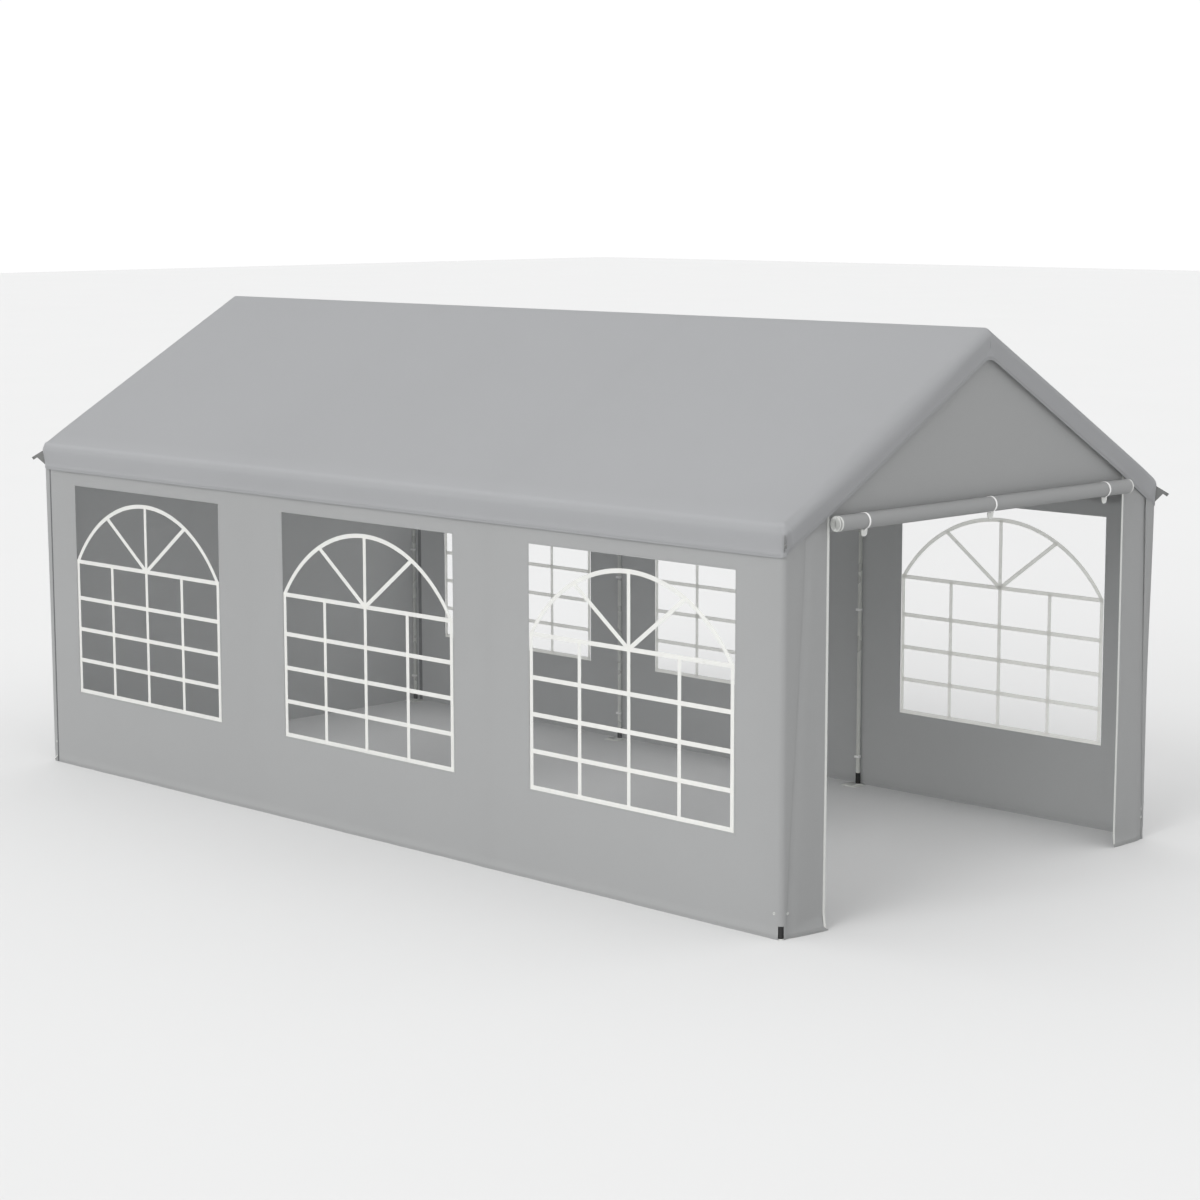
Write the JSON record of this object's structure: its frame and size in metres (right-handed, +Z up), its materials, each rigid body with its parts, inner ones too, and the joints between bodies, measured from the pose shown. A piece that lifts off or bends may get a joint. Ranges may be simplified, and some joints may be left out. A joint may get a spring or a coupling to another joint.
{
  "type": "marquee tent",
  "caption": "Gable-roofed marquee tent: steel tube frame under a grey fabric cover, with arched clear windows in the long walls and a rolled-up door in one gable.",
  "frame": {"origin": "on the ground at the middle of the tent's plan", "axes": "+Z up; the ridge runs along Y, with the open door in the gable at -Y; the left wall, seen from the door, is at -X"},
  "size_m": [3.1418, 6.2549, 2.8419],
  "materials": {
    "coated_steel": "light zinc-coated steel, satin",
    "roof_fabric": "grey coated woven sheet, satin",
    "wall_fabric": "grey coated woven sheet, matt",
    "clear_film": "clear flexible film, glossy",
    "white_webbing": "white woven webbing"
  },
  "bodies": {
    "root": {"left_post_1": "coated_steel", "left_post_2": "coated_steel", "left_post_3": "coated_steel", "left_post_4": "coated_steel", "left_eave_rail_1": "coated_steel", "left_eave_rail_2": "coated_steel", "left_eave_rail_3": "coated_steel", "left_rafter_1": "coated_steel", "left_rafter_2": "coated_steel", "left_rafter_3": "coated_steel", "left_rafter_4": "coated_steel", "right_post_1": "coated_steel", "right_post_2": "coated_steel", "right_post_3": "coated_steel", "right_post_4": "coated_steel", "right_eave_rail_1": "coated_steel", "right_eave_rail_2": "coated_steel", "right_eave_rail_3": "coated_steel", "right_rafter_1": "coated_steel", "right_rafter_2": "coated_steel", "right_rafter_3": "coated_steel", "right_rafter_4": "coated_steel", "ridge_rail_1": "coated_steel", "ridge_rail_2": "coated_steel", "ridge_rail_3": "coated_steel", "left_eave_fitting_1": "coated_steel", "left_eave_fitting_2": "coated_steel", "left_eave_fitting_3": "coated_steel", "left_eave_fitting_4": "coated_steel", "right_eave_fitting_1": "coated_steel", "right_eave_fitting_2": "coated_steel", "right_eave_fitting_3": "coated_steel", "right_eave_fitting_4": "coated_steel", "ridge_fitting_1": "coated_steel", "ridge_fitting_2": "coated_steel", "ridge_fitting_3": "coated_steel", "ridge_fitting_4": "coated_steel", "roof_cover": "roof_fabric", "left_wall": "wall_fabric", "right_wall": "wall_fabric", "back_wall": "wall_fabric", "front_gable": "wall_fabric", "front_left_flap": "wall_fabric", "front_right_flap": "wall_fabric", "door_roll": "wall_fabric", "door_strap_left": "white_webbing", "door_strap_middle": "white_webbing", "door_strap_right": "white_webbing", "left_window_1": "clear_film", "left_window_2": "clear_film", "left_window_3": "clear_film", "right_window_1": "clear_film", "right_window_2": "clear_film", "right_window_3": "clear_film"}
  },
  "joints": []
}
